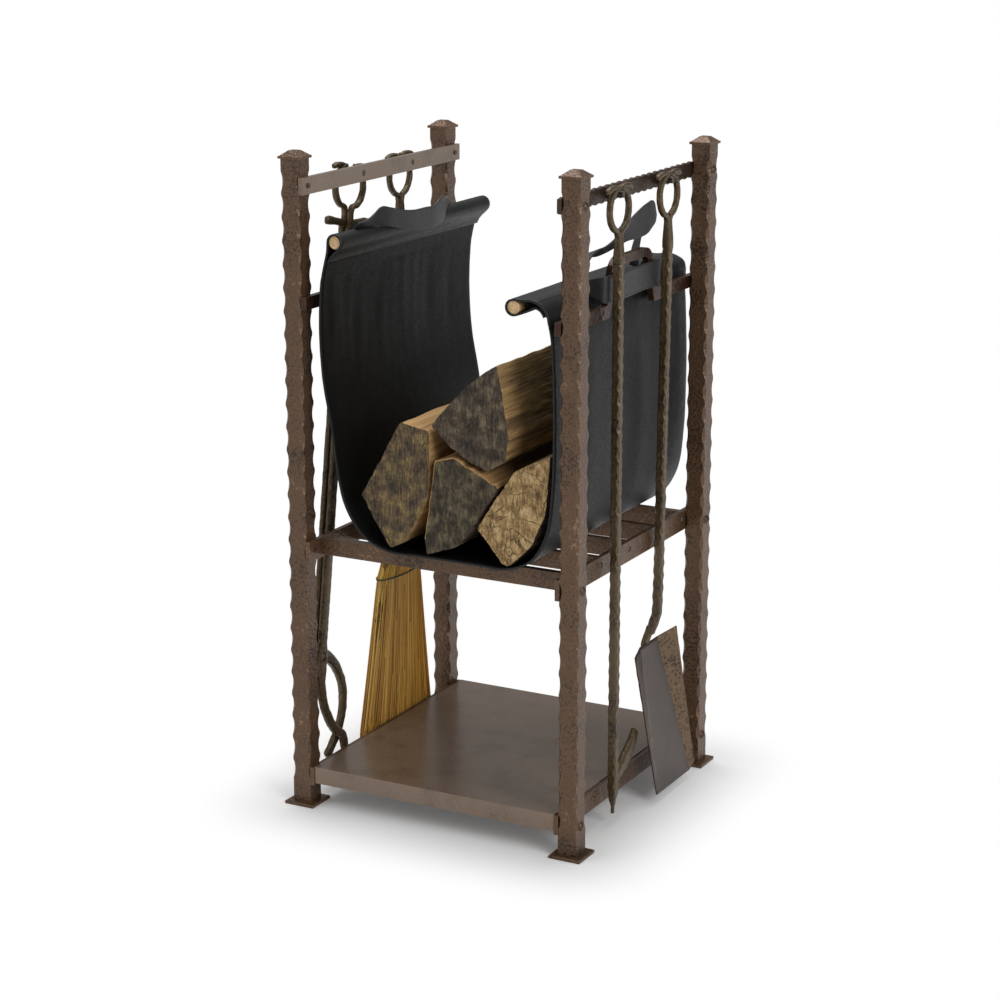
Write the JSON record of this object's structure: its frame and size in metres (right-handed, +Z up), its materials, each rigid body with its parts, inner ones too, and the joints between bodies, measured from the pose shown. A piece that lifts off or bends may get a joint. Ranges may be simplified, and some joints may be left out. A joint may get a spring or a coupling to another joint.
{
  "type": "firewood log rack with leather sling and fire tools",
  "caption": "Square-tube firewood rack with a lift-out leather log sling, slatted shelf, base tray, and a poker, shovel, tongs and broom hung from pegs on its side rails.",
  "frame": {"origin": "on the floor, midway between the four posts", "axes": "+X across the rack towards the poker and shovel, +Y from front to back, +Z up"},
  "size_m": [0.4318, 0.406, 0.838],
  "materials": {
    "frame_bronze": "hammered powder coat, satin, dark bronze brown",
    "sheet_bronze": "smooth semi-gloss powder coat, dark bronze brown",
    "tool_bronze": "hammered powder coat over forged steel, satin, dark bronze",
    "fastener_bronze": "dark bronze bolt and rivet heads, semi-gloss",
    "sling_leather": "black pebbled leather, soft sheen",
    "dowel_wood": "pale sanded dowel",
    "straw": "dry golden broomcorn straw",
    "stitch_thread": "dark green stitching cord",
    "log_wood": "rough split firewood with bark"
  },
  "bodies": {
    "rack": {"post_front_left": "frame_bronze", "post_front_right": "frame_bronze", "post_back_right": "frame_bronze", "post_back_left": "frame_bronze", "cap_front_left": "frame_bronze", "cap_front_right": "frame_bronze", "cap_back_right": "frame_bronze", "cap_back_left": "frame_bronze", "foot_front_left": "frame_bronze", "foot_front_right": "frame_bronze", "foot_back_right": "frame_bronze", "foot_back_left": "frame_bronze", "tool_rail_left": "frame_bronze", "tool_rail_right": "frame_bronze", "shelf_rail_left": "frame_bronze", "shelf_rail_right": "frame_bronze", "base_rail_left": "frame_bronze", "base_rail_right": "frame_bronze", "carrier_bar_left": "frame_bronze", "carrier_bar_right": "frame_bronze", "shelf_slat_1": "frame_bronze", "shelf_slat_2": "frame_bronze", "shelf_slat_3": "frame_bronze", "shelf_slat_4": "frame_bronze", "shelf_slat_5": "frame_bronze", "base_tray": "sheet_bronze", "frame_bolts_left": "fastener_bronze", "frame_bolts_right": "fastener_bronze", "slat_screws": "fastener_bronze", "tray_screws": "fastener_bronze", "peg_poker": "fastener_bronze", "peg_shovel": "fastener_bronze", "peg_tongs": "fastener_bronze", "peg_broom": "fastener_bronze"},
    "poker": {"poker_loop": "tool_bronze", "poker_shank": "tool_bronze", "poker_hook": "tool_bronze"},
    "shovel": {"shovel_loop": "tool_bronze", "shovel_shank": "tool_bronze", "shovel_blade": "tool_bronze", "shovel_rivets": "fastener_bronze"},
    "tongs": {"tongs_arm_outer": "tool_bronze", "tongs_rivet": "fastener_bronze"},
    "tongs_arm": {"tongs_arm_inner": "tool_bronze"},
    "broom": {"broom_loop": "tool_bronze", "broom_shank": "tool_bronze", "broom_ferrule": "tool_bronze", "broom_bristles": "straw", "broom_stitching": "stitch_thread"},
    "sling": {"sling_sheet": "sling_leather", "dowel_left": "dowel_wood", "dowel_right": "dowel_wood", "belt_loop_left": "sling_leather", "belt_loop_right": "sling_leather", "strap_left": "sling_leather", "strap_right": "sling_leather"},
    "log_left": {"log_left": "log_wood"},
    "log_middle": {"log_middle": "log_wood"},
    "log_upper": {"log_upper": "log_wood"},
    "log_right": {"log_right": "log_wood"}
  },
  "joints": [
    {"name": "poker_swing", "type": "hinge", "parent": "rack", "child": "poker", "pos_m": [0.1915, -0.07, 0.796], "axis": [1, 0, 0], "range_deg": [-6, 1]},
    {"name": "shovel_swing", "type": "hinge", "parent": "rack", "child": "shovel", "pos_m": [0.1915, 0.07, 0.796], "axis": [1, 0, 0], "range_deg": [-1, 3]},
    {"name": "tongs_swing", "type": "hinge", "parent": "rack", "child": "tongs", "pos_m": [-0.1915, -0.052, 0.796], "axis": [1, 0, 0], "range_deg": [-1, 1.5]},
    {"name": "tongs_open", "type": "hinge", "parent": "tongs", "child": "tongs_arm", "pos_m": [-0.1915, -0.147, 0.18535], "axis": [-1, 0, 0], "range_deg": [0, 4]},
    {"name": "broom_swing", "type": "hinge", "parent": "rack", "child": "broom", "pos_m": [-0.1915, 0.07, 0.796], "axis": [1, 0, 0], "range_deg": [-1, 1]},
    {"name": "sling_lift", "type": "slide", "parent": "rack", "child": "sling", "axis": [0, 0, 1], "range_m": [0, 0.08]},
    {"name": "log_left_slide", "type": "slide", "parent": "sling", "child": "log_left", "axis": [0, -1, 0], "range_m": [0, 0.4]},
    {"name": "log_middle_slide", "type": "slide", "parent": "sling", "child": "log_middle", "axis": [0, -1, 0], "range_m": [0, 0.4]},
    {"name": "log_upper_slide", "type": "slide", "parent": "sling", "child": "log_upper", "axis": [0, -1, 0], "range_m": [0, 0.4]},
    {"name": "log_right_slide", "type": "slide", "parent": "sling", "child": "log_right", "axis": [0, -1, 0], "range_m": [0, 0.4]}
  ]
}
